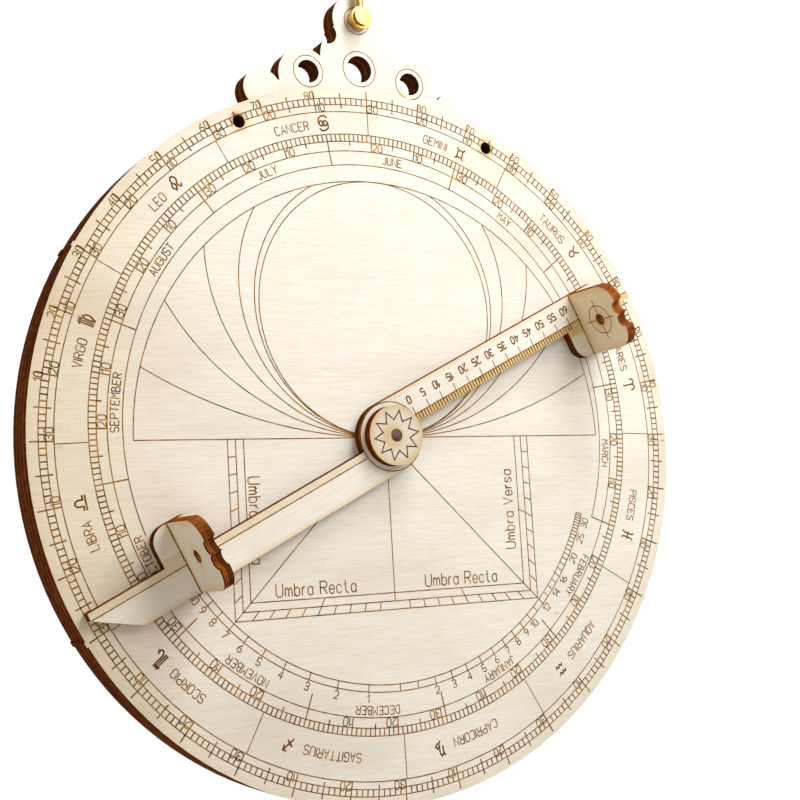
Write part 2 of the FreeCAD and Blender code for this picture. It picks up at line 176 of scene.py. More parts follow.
def turned(vector, angle):
    """A direction in the disc's plane, turned anticlockwise as seen from the back."""
    return Matrix.Rotation(angle, 3, Vector((0, -1, 0))) @ Vector(vector)


ALONG = turned((1, 0, 0), ALIDADE_ANGLE)
BESIDE = turned((0, 0, 1), ALIDADE_ANGLE)
FACE_LIGHT, FACE_MID, FACE_DARK = srgb(240, 235, 226), srgb(230, 223, 209), srgb(192, 172, 142)
# Tan multiplied into a face by heat stains and by painted shade.
TOAST_AND_SHADE = srgb(238, 212, 150)
EDGE_BLACK, EDGE_BROWN, EDGE_RED = srgb(66, 32, 17), srgb(122, 65, 31), srgb(178, 100, 40)


def birch(name, grain, normal, glow, seed, stains_and_shading=(), smoke=0.0):
    """Birch plywood: pale face with fine grain, laser-scorched edge with its veneers.

    grain and normal are directions, and glow is how little of the edge is charred. The stains
    and shade are functions that each give the strength of a tan tint: heat stains, and on the back
    and the sights also painted shade. smoke darkens the whole face."""
    g = Graph(name)
    grain, normal = Vector(grain), Vector(normal)
    across = normal.cross(grain)
    along_m, across_m = g.dot(grain), g.dot(across)
    depth_m = g.dot(normal)

    def stretched(per_m_along, per_m_across, shift=0.0):
        return g.join(g.math("MULTIPLY", along_m, per_m_along),
                      g.math("MULTIPLY", across_m, per_m_across),
                      g.math("MULTIPLY_ADD", depth_m, per_m_across * 0.3, seed + shift))

    # the face: grain, darker clouds, short dashes and a few small knots
    fibre = g.noise(stretched(150, 2600), detail=3, rough=0.6)
    streak = g.noise(stretched(40, 700, 7), detail=3, rough=0.6)
    cloud = g.noise(stretched(14, 34, 13), detail=2)
    figure = g.math("MULTIPLY_ADD", fibre, 0.75, g.math("MULTIPLY", streak, 0.25))
    face = g.mix(g.smooth(figure, 0.32, 0.66), FACE_MID, FACE_LIGHT)
    face = g.mix(g.math("MULTIPLY", g.smooth(cloud, 0.42, 0.78), 0.3), face, FACE_DARK)
    dash = g.smooth(g.noise(stretched(420, 2900, 3), detail=1), 0.33, 0.22)
    face = g.mix(g.math("MULTIPLY", dash, 0.3), face, FACE_DARK)
    knot = g.smooth(g.spots(stretched(34, 80, 41)), 0.075, 0.035)
    rare = g.smooth(g.noise(stretched(60, 60, 29), detail=0), 0.42, 0.56)
    face = g.mix(g.math("MULTIPLY", g.math("MULTIPLY", knot, rare), 0.7), face, EDGE_BROWN)
    face = g.mix(smoke, face, FACE_DARK)
    # The tints are heat stains, and on the back and the sights also painted shade.
    for stain in stains_and_shading:
        face = g.mix(stain(g), face, TOAST_AND_SHADE, "MULTIPLY")

    # the cut edge: three veneers to a sheet, dark glue lines between them, laser streaks
    layer = g.math("PINGPONG", g.math("DIVIDE", depth_m, SHEET * MM), 0.5)
    core = g.smooth(layer, 0.15, 0.21)
    glue = g.math("ADD", g.smooth(g.math("ABSOLUTE", g.math("SUBTRACT", layer, 0.18)), 0.06, 0.01),
                  g.smooth(layer, 0.07, 0.01), clamp=True)
    char = g.noise(stretched(620, 620, 5), detail=3)
    broad = g.noise(stretched(45, 45, 17), detail=2)
    edge = g.mix(g.smooth(char, 0.3, 0.7), EDGE_BROWN, EDGE_RED)
    scorched = g.smooth(g.math("MULTIPLY_ADD", core, 0.34, g.math("SUBTRACT", broad, 0.1)),
                        glow - 0.15, glow + 0.2)
    edge = g.mix(g.math("MULTIPLY", scorched, 0.85), edge, EDGE_BLACK)
    edge = g.mix(g.math("MULTIPLY", glue, 0.8), edge, EDGE_BLACK)
    facing = g.math("ABSOLUTE", g.dot(normal, "Normal"))
    is_edge = g.smooth(facing, 0.75, 0.55)
    g.put(g.shader.inputs["Base Color"], g.mix(is_edge, face, edge))
    rough = g.math("MULTIPLY_ADD", fibre, 0.2, 0.52)
    g.put(g.shader.inputs["Roughness"], rough)
    g.shader.inputs["Specular IOR Level"].default_value = 0.0
    g.bump(g.math("MULTIPLY_ADD", fibre, 0.6, g.math("MULTIPLY", dash, -0.5)), 0.00006, 0.6)
    return g.owner


def radius_at(g, x_mm=0.0, z_mm=0.0):
    """Distance (m) in the disc's plane from a point given in mm from the pivot."""
    x = g.math("SUBTRACT", g.dot((1, 0, 0)), PIVOT.x + x_mm * MM)
    z = g.math("SUBTRACT", g.dot((0, 0, 1)), PIVOT.z + z_mm * MM)
    return g.vector("LENGTH", g.join(x, 0.0, z))


def rim_stain(clear, full, strength):
    """Heat stain that grows towards a round cut edge."""
    def build(g):
        patch = g.noise(g.coords.outputs["Object"], 90)
        amount = g.math("MULTIPLY_ADD", patch, strength, strength / 2)
        return g.math("MULTIPLY", g.smooth(radius_at(g), clear * MM, full * MM), amount)
    return build


def side_cast(clear, full, strength):
    """Painted shade: a tan darkening that grows towards one side of the disc, where the light
    falls off.
    """
    def build(g):
        x = g.math("SUBTRACT", g.dot((1, 0, 0)), PIVOT.x)
        return g.math("MULTIPLY", g.smooth(x, clear * MM, full * MM), strength)
    return build


def arm_stain(strength):
    """Heat stain beside the fiducial lines and along the long edges of an arm."""
    def build(g):
        v = g.math("ABSOLUTE", g.math("SUBTRACT", g.dot(BESIDE), BESIDE.dot(PIVOT)))
        u = g.math("SUBTRACT", g.dot(ALONG), ALONG.dot(PIVOT))
        ruled = g.math("MULTIPLY_ADD", g.smooth(u, 0.0, 2 * MM), 0.85, 0.75)
        band = g.math("MULTIPLY", g.smooth(v, 2.2 * MM, 1.7 * MM), ruled)
        border = g.smooth(v, (ARM_WIDTH - 1.6) * MM, ARM_WIDTH * MM)
        clear_of_boss = g.smooth(radius_at(g), (ARM_WIDTH - 0.2) * MM, ARM_WIDTH * MM)
        amount = g.math("MULTIPLY", g.math("ADD", band, border), strength, clamp=True)
        return g.math("MULTIPLY", amount, clear_of_boss)
    return build


def tone(strength):
    """Painted shade: an even, faintly patchy darkening of a whole sheet, for faces turned from the
    lamps.
    """
    def build(g):
        return g.math("MULTIPLY_ADD", g.noise(g.coords.outputs["Object"], 60), 0.2, strength)
    return build


def sight_stain(g):
    """Heat stain round the edge, the foot and the hole of both sights."""
    across = g.math("ABSOLUTE", g.math("SUBTRACT", g.dot(BESIDE), BESIDE.dot(PIVOT)))
    out = g.math("SUBTRACT", BAR_Y, g.dot((0, 1, 0)))
    hole = g.vector("LENGTH", g.join(across, 0.0, g.math("SUBTRACT", out, SIGHT_HOLE_UP * MM)))
    border = g.math("MAXIMUM", g.smooth(across, (SIGHT_HALF - 2.5) * MM, SIGHT_HALF * MM),
                    g.smooth(out, 2.6 * MM, 0.0))
    near_hole = g.smooth(hole, 4.5 * MM, 1.6 * MM)
    patch = g.noise(g.coords.outputs["Object"], 240)
    return g.math("MULTIPLY", g.math("MAXIMUM", border, near_hole),
                  g.math("MULTIPLY_ADD", patch, 0.5, 0.2), clamp=True)


def spot_stain(x_mm, z_mm, inner, outer, strength):
    """Heat stain that fades away from a cut hole."""
    def build(g):
        radius = radius_at(g, x_mm, z_mm)
        return g.math("MULTIPLY", g.smooth(radius, outer * MM, inner * MM), strength)
    return build


def scorch(name, dark, light):
    """Laser-engraved mark, uneven along its length."""
    g = Graph(name)
    uneven = g.noise(g.coords.outputs["Object"], 420, 3)
    g.put(g.shader.inputs["Base Color"], g.mix(g.smooth(uneven, 0.3, 0.7), dark, light))
    g.put(g.shader.inputs["Roughness"], g.math("MULTIPLY_ADD", uneven, 0.2, 0.7))
    g.shader.inputs["Specular IOR Level"].default_value = 0.05
    return g.owner


def metal(name, light, dark, rough):
    """Drawn and handled metal: faint scratches, tarnish in patches."""
    g = Graph(name)
    tarnish = g.noise(g.coords.outputs["Object"], 140, 3)
    fine = g.noise(g.coords.outputs["Object"], 900, 4, 0.7)
    g.put(g.shader.inputs["Base Color"], g.mix(g.smooth(tarnish, 0.35, 0.7), light, dark))
    g.shader.inputs["Metallic"].default_value = 1.0
    g.put(g.shader.inputs["Roughness"], g.math("MULTIPLY_ADD", fine, 0.22, rough))
    g.bump(fine, 0.00003, 0.5)
    return g.owner


# ------------------------------------------------------------------ engraving

PROUD, SUNK, STEP = 0.012, 0.05, 0.001     # above and below the face; spread of heights
LEVELS = 7                                 # heights taken in turn, so crossing lines differ
LINE, RING, LETTER, HAIR = 0.29, 0.28, 0.3, 0.2     # widths: lines, ring lines, letters, front
NEAR_HOLE, FINE_STEP = 6, 0.2              # lines this near a hole are cut up this finely
SHARPEST_SOFT = math.radians(115)          # corners wider than this are rounded
GLYPH_TALL = 6                             # grid units from the foot to the top of a capital
SQUEEZE, GAP, SPACE = 0.85, 1.6, 1.6       # letters' width; grid units between them and of a space


def soften(points, closed):
    """Rounds a glyph's chamfered corners and leaves its sharp ones."""
    count, out = len(points), []
    for i, p in enumerate(points):
        if not closed and i in (0, count - 1):
            out.append(p)
            continue
        a, b = points[i - 1] - p, points[(i + 1) % count] - p
        if a.angle(b, 0) > SHARPEST_SOFT:
            out += [p + a * 0.28, p + (a + b) * 0.06, p + b * 0.28]
        else:
            out.append(p)
    return out


def runs(points, keep):
    """Splits a sampled curve into the runs whose points pass a test."""
    run = []
    for p in points:
        if keep(p):
            run.append(p)
        else:
            if len(run) > 1:
                yield run
            run = []
    if len(run) > 1:
        yield run


class Engraving:
    """One piece made of closed strips that lie in a face, like charred grooves."""

    def __init__(self, name, body, origin, right, up, width=LINE, holes=()):
        right, up = Vector(right).normalized(), Vector(up).normalized()
        self.name, self.body, self.width, self.holes = name, body, width, holes
        self.origin, self.right, self.up = Vector(origin), right, up
        self.out = right.cross(up)
        self.verts, self.faces, self.count = [], [], 0

    def place(self, u, v, h):
        return self.origin + (self.right * u + self.up * v + self.out * h) * MM

    def line(self, points, closed=False, width=None):
        """Engraves a run of points, broken where it would cross a hole in the sheet."""
        points = [Vector(p) for p in points]
        if self.holes:
            if closed:
                points.append(points[0])
            fine = [points[0]]
            for p, q in zip(points, points[1:]):
                near = any(min((p - Vector(h)).length, (q - Vector(h)).length) < NEAR_HOLE
                           for h in self.holes)
                parts = math.ceil((q - p).length / FINE_STEP) if near else 1
                fine += [p.lerp(q, i / parts) for i in range(1, parts + 1)]
            pieces = list(runs(fine, lambda p: all((p - Vector(h)).length > HOLE_RADIUS
                                                   for h in self.holes)))
            if len(pieces) != 1 or len(pieces[0]) < len(fine):
                for piece in pieces:
                    self.strip(piece, False, width)
                return
            points = points[:-1] if closed else points
        self.strip(points, closed, width)

    def strip(self, points, closed, width):
        """Adds one four-sided strip, mitred at its corners."""
        half = (width or self.width) / 2
        lift = PROUD + STEP * (self.count % LEVELS)
        self.count += 1
        base, n = len(self.verts), len(points)
        for i, p in enumerate(points):
            ahead = points[(i + 1) % n] - p if closed or i < n - 1 else None
            behind = p - points[i - 1] if closed or i else None
            d1 = (behind or ahead).normalized()
            d2 = (ahead or behind).normalized()
            mean = d1 + d2
            mean = mean.normalized() if mean.length > 1e-6 else d2
            side = Vector((-mean.y, mean.x))
            reach = half / max(side.dot(Vector((-d2.y, d2.x))), 0.45)
            for offset, height in ((reach, lift), (-reach, lift), (-reach, -SUNK),
                                   (reach, -SUNK)):
                q = p + side * offset
                self.verts.append(self.place(q.x, q.y, height))
        spans = n if closed else n - 1
        for i in range(spans):
            a, b = base + 4 * i, base + 4 * ((i + 1) % n)
            self.faces += [(a + 1, b + 1, b, a), (a + 1, a + 2, b + 2, b + 1),
                           (b, b + 3, a + 3, a), (a + 3, b + 3, b + 2, a + 2)]
        if not closed:
            a, b = base, base + 4 * (n - 1)
            self.faces += [(a, a + 3, a + 2, a + 1), (b + 1, b + 2, b + 3, b)]

    def arc(self, radius, centre=(0, 0), start=0.0, end=360.0, width=None):
        """Engraves a circle, or an arc between two angles in degrees."""
        closed = abs(end - start) >= 360
        steps = max(8, int(abs(end - start) * min(radius, 90) / 60))
        angles = [math.radians(start + (end - start) * i / steps)
                  for i in range(steps + (not closed))]
        self.line([(centre[0] + radius * math.cos(t), centre[1] + radius * math.sin(t))
                   for t in angles], closed, width)

    def ray(self, angle, r0, r1, centre=(0, 0), width=None):
        """Engraves a line along a direction in degrees, from one radius to another."""
        c, s = math.cos(math.radians(angle)), math.sin(math.radians(angle))
        self.line([(centre[0] + r * c, centre[1] + r * s) for r in (r0, r1)], False, width)

    def glyph(self, char, at, turn, height, squeeze, width):
        """Draws one glyph centred on a point; turn is the angle of its baseline."""
        scale = height / GLYPH_TALL
        span = glyph_span(char)
        spin = Matrix.Rotation(turn, 2)
        for stroke in GLYPHS[char]:
            closed = stroke[0] == stroke[-1] and len(stroke) > 2
            points = [Vector((x, y)) for x, y in (stroke[:-1] if closed else stroke)]
            points = soften(points, closed)
            self.line([Vector(at) + spin @ Vector(((p.x - span / 2) * scale * squeeze,
                                                   (p.y - GLYPH_TALL / 2) * scale))
                       for p in points], closed, width)

    def text(self, words, at, turn, height, squeeze, width, gap=GAP):
        """Straight text centred on a point."""
        for char, shift in spread(words, height / GLYPH_TALL * squeeze, gap):
            step = Matrix.Rotation(turn, 2) @ Vector((shift, 0))
            self.glyph(char, Vector(at) + step, turn, height, squeeze, width)

    def curved(self, words, radius, angle, height, centre=(0, 0), align=0.0, inward=False,
               squeeze=SQUEEZE, gap=GAP, width=None):
        """Text on an arc; radius is to its middle. Tops face out unless inward.

        align -1 starts the text at the angle, 0 centres it there and 1 ends it there."""
        scale = height / GLYPH_TALL * squeeze
        total = text_width(words, scale, gap)
        sense = 1 if inward else -1
        for char, shift in spread(words, scale, gap):
            along = shift - align * total / 2
            t = math.radians(angle) + sense * along / radius
            at = (centre[0] + radius * math.cos(t), centre[1] + radius * math.sin(t))
            turn = t + (math.pi / 2 if inward else -math.pi / 2)
            self.glyph(char, at, turn, height, squeeze, width)

    def build(self, material):
        """Makes the piece and lets it ride on its body."""
        mesh = bpy.data.meshes.new(self.name)
        mesh.from_pydata([tuple(v) for v in self.verts], [], self.faces)
        mesh.materials.append(material)
        mesh.update()
        piece = bpy.data.objects.new(self.name, mesh)
        bpy.context.scene.collection.objects.link(piece)
        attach(piece, self.body)


# Stroke glyphs. Each stroke is a run of points, written as a column digit and a row digit;
# letters and figures are 4 columns wide and 6 rows tall, and the signs are up to 7 wide.
STROKES = {
    "0": "10 30 41 45 36 16 05 01 10", "1": "04 26 20", "2": "05 16 36 45 43 00 40",
    "3": "05 16 36 45 44 33 13,33 42 41 30 10 01", "4": "30 36 02 42",
    "5": "46 06 03 33 42 41 30 10 01", "6": "36 03 01 10 30 41 42 33 03",
    "7": "06 46 10", "8": "13 04 05 16 36 45 44 33 13,13 02 01 10 30 41 42 33",
    "9": "10 43 45 36 16 05 04 13 43",
    "A": "00 26 40,12 32", "B": "23 03 00 30 41 42 33 23 34 35 26 06 03",
    "C": "45 36 16 05 01 10 30 41", "D": "00 06 26 44 42 20 00", "E": "40 00 06 46,03 33",
    "F": "00 06 46,03 33", "G": "45 36 16 05 01 10 30 41 43 23", "H": "00 06,40 46,03 43",
    "I": "00 06", "J": "01 10 20 31 36", "L": "06 00 40", "M": "00 06 23 46 40",
    "N": "00 06 40 46", "O": "10 30 41 45 36 16 05 01 10", "P": "00 06 36 45 44 33 03",
    "Q": "10 30 41 45 36 16 05 01 10,22 40", "R": "00 06 36 45 44 33 03,23 40",
    "S": "01 10 30 41 42 33 13 04 05 16 36 45", "T": "06 46,26 20",
    "U": "06 01 10 30 41 46", "V": "06 20 46", "X": "00 46,06 40", "Y": "06 23 46,23 20",
    "a": "33 24 14 03 01 10 20 31,34 30", "b": "06 00,01 10 20 31 33 24 14 03",
    "c": "33 24 14 03 01 10 20 31", "e": "02 32 33 24 14 03 01 10 20 31",
    "m": "00 04,03 14 23 20,23 34 43 40", "r": "00 04,02 14 24",
    "s": "01 10 20 31 22 12 03 14 24 33", "t": "16 11 20 30,04 24",
    # the twelve signs, in order from the spring equinox
    "sign1": "04 05 16 26 35 30,35 46 56 65 64",
    "sign2": "21 12 13 24 34 43 42 31 21,06 15 24,34 45 56",
    "sign3": "05 14 44 55,14 11,44 41,00 11 41 50",
    "sign4": "03 14 24 33 22 12 03,03 05 26 46 55,53 42 32 23 34 44 53,53 51 30 10 01",
    "sign5": "11 02 03 14 23 22 11,23 14 15 26 36 45 44 33 32 41 52",
    "sign6": "05 16 10,15 26 20,25 36 31 40,34 45 54 52 30",
    "sign7": "01 71,02 22 23 24 35 45 54 53 52 72",
    "sign8": "05 16 10,15 26 20,25 36 31 40 50 61,52 61 51",
    "sign9": "00 45,25 45 43,03 31",
    "sign10": "06 15 12,15 26 35 31 20,32 43 52 41 31",
    "sign11": "04 15 24 35 44 55,01 12 21 32 41 52",
    "sign12": "06 15 11 00,46 35 31 40,03 43",
}
GLYPHS = {char: [[(int(p[0]), int(p[1])) for p in stroke.split()]
                 for stroke in code.split(",")] for char, code in STROKES.items()}
SIGNS = ["ARIES", "TAURUS", "GEMINI", "CANCER", "LEO", "VIRGO", "LIBRA", "SCORPIO",
         "SAGITTARIUS", "CAPRICORN", "AQUARIUS", "PISCES"]
MONTHS = [("JANUARY", 31), ("FEBRUARY", 28), ("MARCH", 31), ("APRIL", 30), ("MAY", 31),
          ("JUNE", 30), ("JULY", 31), ("AUGUST", 31), ("SEPTEMBER", 30), ("OCTOBER", 31),
          ("NOVEMBER", 30), ("DECEMBER", 31)]


def glyph_span(char):
    """Width of a glyph in grid units."""
    return max((x for stroke in GLYPHS[char] for x, _ in stroke), default=0)


def text_width(words, scale, gap):
    """Width of a text whose letters stand gap grid units apart."""
    spans = [SPACE if w == " " else glyph_span(w) for w in words]
    return (sum(spans) + gap * (len(spans) - 1)) * scale


def spread(words, scale, gap):
    """(glyph, distance of its middle from the middle of the text), words being glyph keys."""
    cursor = -text_width(words, scale, gap) / 2
    for w in words:
        span = SPACE if w == " " else glyph_span(w)
        if w != " ":
            yield w, cursor + span * scale / 2
        cursor += (span + gap) * scale


# ------------------------------------------------------------------ the engraved back

DEGREE_RINGS = (94.1, 92.25, 90.3)         # outer and inner ends of the ticks, figures' circle
TENS_TICK, FIVES_TICK = (90.3, 96.3), (91.1, 95.4)
ECCENTRE = (-0.61, 2.63)           # centre of the calendar circles
DATE_RINGS = (81.3, 79.3, 76.6, 72.7)
HOUR_RADIUS = 70.7
TANGENT_RINGS = (67.5, 65.6)
ARC_END = 20.0                     # degrees below level where the lower arc stops
SQUARE = (46.0, 43.8, 41.6)        # half widths of the shadow square's lines
SIGN_DEGREES = 30                  # each sign is a twelfth of the circle
# days of the year at the lines between the signs
SIGN_DAYS = (79.2, 109.6, 140.5, 171.6, 203.2, 234.4, 265.4, 295.7, 325.6, 355.2, 19.6, 50.0)
BACK = dict(body="mater", origin=(PIVOT.x, BACK_Y, PIVOT.z), right=(1, 0, 0), up=(0, 0, 1))


def day_angle(day):
    """Direction of the end of a day of the year about the calendar's centre."""
    return 160.0 + (day - 243) * 360 / 365


def from_middle(radius, angle):
    """Distance from the pivot to the calendar circle of that radius, along a direction."""
    t = math.radians(angle)
    along = ECCENTRE[0] * math.cos(t) + ECCENTRE[1] * math.sin(t)
    off = ECCENTRE[1] * math.cos(t) - ECCENTRE[0] * math.sin(t)
    return along + math.sqrt(radius ** 2 - off ** 2)


def degree_scale():
    e = Engraving("back_degree_scale", width=0.38, holes=RIM_HOLES, **BACK)
    for radius in DEGREE_RINGS:
        e.arc(radius, width=RING)
    outer, inner, _ = DEGREE_RINGS
    for degree in range(360):
        if degree % 10 == 0:
            e.ray(degree, *TENS_TICK)
        elif degree % 5 == 0:
            e.ray(degree, *FIVES_TICK)
        else:
            e.ray(degree, inner, outer)
    return e


def degree_figures():
    """Altitudes outside the ticks of the upper half, and degrees of each sign inside them."""
    e = Engraving("back_degree_figures", width=LETTER, **BACK)
    altitude_radius, sign_radius = 95.0, 91.6
    for step in range(10, 90, 10):
        e.curved(str(step), altitude_radius, 180 - step - 0.15, 2.1, align=1.0)
        e.curved(str(step), altitude_radius, step + 0.15, 2.1, align=-1.0)
    for sign in range(12):
        for part in (10, 20, 30):
            e.curved(str(part), sign_radius, sign * SIGN_DEGREES + part - 0.2, 2.2, align=-1.0)
    return e


def zodiac_band():
    """Names and signs of the zodiac, and the lines between them."""
    e = Engraving("back_zodiac", width=LETTER, **BACK)
    marks = Engraving("back_zodiac_marks", **BACK)
    for day in SIGN_DAYS:
        t = math.radians(day_angle(day))
        inner = (ECCENTRE[0] + DATE_RINGS[0] * math.cos(t),
                 ECCENTRE[1] + DATE_RINGS[0] * math.sin(t))
        along = inner[0] * math.cos(t) + inner[1] * math.sin(t)
        reach = math.sqrt(along ** 2 + DEGREE_RINGS[2] ** 2 - inner[0] ** 2 - inner[1] ** 2)
        far = reach - along
        e.line([inner, (inner[0] + far * math.cos(t), inner[1] + far * math.sin(t))], width=0.25)
    height, gap = 2.35, 1.4
    for i, name in enumerate(SIGNS):
        middle = i * SIGN_DEGREES + 13.8
        radius = (DEGREE_RINGS[2] + from_middle(DATE_RINGS[0], middle)) / 2 - 0.3
        e.curved(name, radius, middle + 1.8, height, gap=gap)
        half = text_width(name, height / GLYPH_TALL * SQUEEZE, gap) / 2
        after_name = middle - math.degrees(half / radius) - 1.3
        marks.curved([f"sign{i + 1}"], radius + 0.3, after_name, 4.1, squeeze=0.8, width=0.46)
    return e, marks


def calendar():
    """Circles of the calendar and a tick at the end of every day."""
    e = Engraving("back_calendar", width=0.36, **BACK)
    outer, inner, figures, names = DATE_RINGS
    for radius in (outer, inner, figures):
        e.arc(radius, ECCENTRE, width=RING)
    e.arc(names, ECCENTRE, -ARC_END - 1.5, 180 + ARC_END + 1.0, RING)
    day = 0
    for _, length in MONTHS:
        for date in range(1, length + 1):
            day += 1
            if date == length:
                low = names
            elif date % 10 == 0:
                low = figures
            elif date % 5 == 0:
                low = inner - 1.2
            else:
                low = inner
            e.ray(day_angle(day), outer, low, ECCENTRE)
    return e


def calendar_words():
    """Names of the months and every tenth day."""
    e = Engraving("back_calendar_words", width=LETTER, **BACK)
    _, inner, figures, names = DATE_RINGS
    day = 0
    for name, length in MONTHS:
        e.curved(name, (figures + names) / 2 + 0.1, day_angle(day + length / 2), 2.15,
                 centre=ECCENTRE, gap=1.5)
        for date in (10, 20, 30):
            if date < length:
                e.curved(str(date), (figures + inner) / 2, day_angle(day + date) - 0.25, 2.2,
                         centre=ECCENTRE, align=-1.0)
        day += length
    return e


def hour_lines():
    """Unequal hours: circles through the pivot and the divisions of the semicircle."""
    e = Engraving("back_hour_lines", **BACK)
    e.arc(HOUR_RADIUS, start=0, end=180)
    e.line([(-HOUR_RADIUS, 0), (HOUR_RADIUS, 0)])
    for lean in (0, 15, 30, 45, 60, 75):
        radius = HOUR_RADIUS / 2 / math.cos(math.radians(lean))
        for side in (1, -1):
            # from the pivot to the division; both halves meet at the top where lean is 0
            start, end = -90.0, 90.0 - 2 * lean
            steps = max(24, int((end - start) / 2))
            points = []
            for i in range(steps + 1):
                t = math.radians(start + (end - start) * i / steps)
                points.append((side * radius * math.cos(t), radius + radius * math.sin(t)))
            e.line(points)
    return e


def tangent_scale():
    """Lower arc divided by cotangents, to 7 on the left and to 12 on the right."""
    e = Engraving("back_tangent_scale", **BACK)
    outer, inner = TANGENT_RINGS
    for radius in TANGENT_RINGS:
        e.arc(radius, start=180 + ARC_END, end=360 - ARC_END)
    e.ray(180 + ARC_END, inner, outer)
    e.ray(360 - ARC_END, inner, outer)
    left_labels = (1, 2, 3, 4, 5, 6, 7, 8, 9, 10, 12, 15)
    right_labels = (2, 3, 4, 5, 6, 7, 8, 9, 10, 12, 14, 16, 20, 25, 30)
    for side, base, top, labelled in ((-1, 7, 19, left_labels), (1, 12, 32, right_labels)):
        for n in range(1, top + 1):
            angle = 270 + side * math.degrees(math.atan(n / base))
            e.ray(angle, inner - 0.2, outer + (0.5 if n in labelled else 0))
            if n in labelled:
                e.curved(str(n), outer + 1.7, angle, 2.0, inward=True, width=LETTER)
    e.ray(270, inner - 0.2, outer)
    return e


def shadow_square():
    """Square of tenths below the centre, with the names of its two scales."""
    e = Engraving("back_shadow_square", **BACK)
    outer, middle, inner = SQUARE
    words = dict(height=3.3, gap=1.5, width=0.33)
    for side in SQUARE:
        e.line([(-side, 0), (-side, -side), (side, -side), (side, 0)])
    e.line([(0, 0), (0, -middle)])
    for side in (-1, 1):
        e.line([(0, 0), (side * outer, -outer)])
        for n in range(1, 10):
            share, low = n / 10, inner if n == 5 else middle
            e.line([(side * low * share, -low), (side * outer * share, -outer)])
            e.line([(side * low, -low * share), (side * outer, -outer * share)])
        e.text("Umbra Recta", (side * 22.1 - 0.95, -38.95), 0, squeeze=0.86, **words)
    e.text("Umbra Versa", (38.1, -20.65), math.pi / 2, squeeze=0.845, **words)
    e.text("Umbra Versa", (-39.2, -20.8), -math.pi / 2, squeeze=0.845, **words)
    return e


# ------------------------------------------------------------------ alidade, caps and sights

RULER_START, RULER_END = 9.8, 60           # place of its zero; its last division
STAR_POINTS, STAR_TIP, STAR_NOTCH = 10, 6.75, 4.15


def arm_lines(e, side):
    """Fiducial lines beside both working edges, and a ring round the boss.

    side is 1 where the right arm lies above the centre line and -1 where below."""
    edge, inset, far_end = ARM_WIDTH - 0.15, 1.9, ARM_LENGTH - 0.2
    start = math.sqrt(edge ** 2 - inset ** 2)
    e.line([(start, side * inset), (far_end, side * inset)], width=0.32)
    e.line([(-start, -side * inset), (-far_end, -side * inset)], width=0.32)
    e.arc(edge, width=0.3)


def alidade_lines():
    """The bar's own lines, and dark lines along the foot of each sight.

    Those at the feet are the slot's charred edges, and partly painted shade in the joint.
    """
    e = Engraving("alidade_lines", "alidade", (PIVOT.x, BAR_Y, PIVOT.z), ALONG, BESIDE)
    arm_lines(e, 1)
    # The dark lines at the sights' feet are partly charred slot edges and partly painted shade in
    # the joint.
    for u in (-SIGHT_NEAR, SIGHT_FAR):
        for side in (-1.5, 1.5):
            e.line([(u + side, -SIGHT_HALF), (u + side, SIGHT_HALF)], width=0.75)
    return e


def ruler():
    """Millimetres from 0 to 60 along the right arm, read with the instrument turned over."""
    e = Engraving("alidade_ruler", "alidade", (PIVOT.x, BAR_Y, PIVOT.z), ALONG, BESIDE, 0.42)
    for n in range(RULER_END + 1):
        u = RULER_START + n
        e.line([(u, 0.1), (u, 1.9)])
        if n % 5 == 0:
            e.line([(u, 2.0), (u, 4.1)], width=0.26)
            e.text(str(n), (u, 6.2), math.pi, 2.05, squeeze=0.78, gap=1.8, width=0.42)
    return e


def star(name, y, right, up):
    """Star of straight lines on a cap."""
    e = Engraving(name, "alidade", (PIVOT.x, y, PIVOT.z), right, up, width=0.36)
    points = []
    for i in range(2 * STAR_POINTS):
        radius = STAR_TIP if i % 2 == 0 else STAR_NOTCH
        t = math.pi / 2 + i * math.pi / STAR_POINTS
        points.append((radius * math.cos(t), radius * math.sin(t)))
    e.line(points, closed=True)
    return e


def sight_target():
    """Circle and cross round the hole of the far sight, on the side that faces the pivot."""
    origin = PIVOT + ALONG * (SIGHT_FAR - SHEET / 2) * MM
    origin.y = BAR_Y - SIGHT_HOLE_UP * MM
    e = Engraving("sight_target", "alidade", origin, (0, 1, 0), BESIDE, width=0.3)
    if e.out.dot(ALONG) > 0:
        e.right, e.out = -e.right, -e.out
    e.arc(4.3)
    for t in (0, 90, 180, 270):
        e.ray(t, 1.9, 6.0)
    return e


# ------------------------------------------------------------------ the front

TROPIC, OBLIQUITY, LATITUDE = 78.0, math.radians(23.44), math.radians(48)
EQUATOR = TROPIC * math.tan((math.pi / 2 - OBLIQUITY) / 2)
CANCER = EQUATOR * math.tan((math.pi / 2 - OBLIQUITY) / 2)
LIMB_RINGS = (95.6, 94.1, 92.25, 83.4)     # outer edge, ends of the ticks, inner edge
ECLIPTIC_WIDTH = 6.5
RETE_RIM_RINGS = (76.2, 80.7)


def front(name, body, y, holes=()):
    """Fine engraving on a face that looks to +Y; u runs right as that face is seen."""
    return Engraving(name, body, (PIVOT.x, y, PIVOT.z), (-1, 0, 0), (0, 0, 1), HAIR, holes)


def circle_points(centre, radius, steps=720):
    """Points round a circle, the first one repeated at the end."""
    return [(centre[0] + radius * math.cos(2 * math.pi * i / steps),
             centre[1] + radius * math.sin(2 * math.pi * i / steps)) for i in range(steps + 1)]


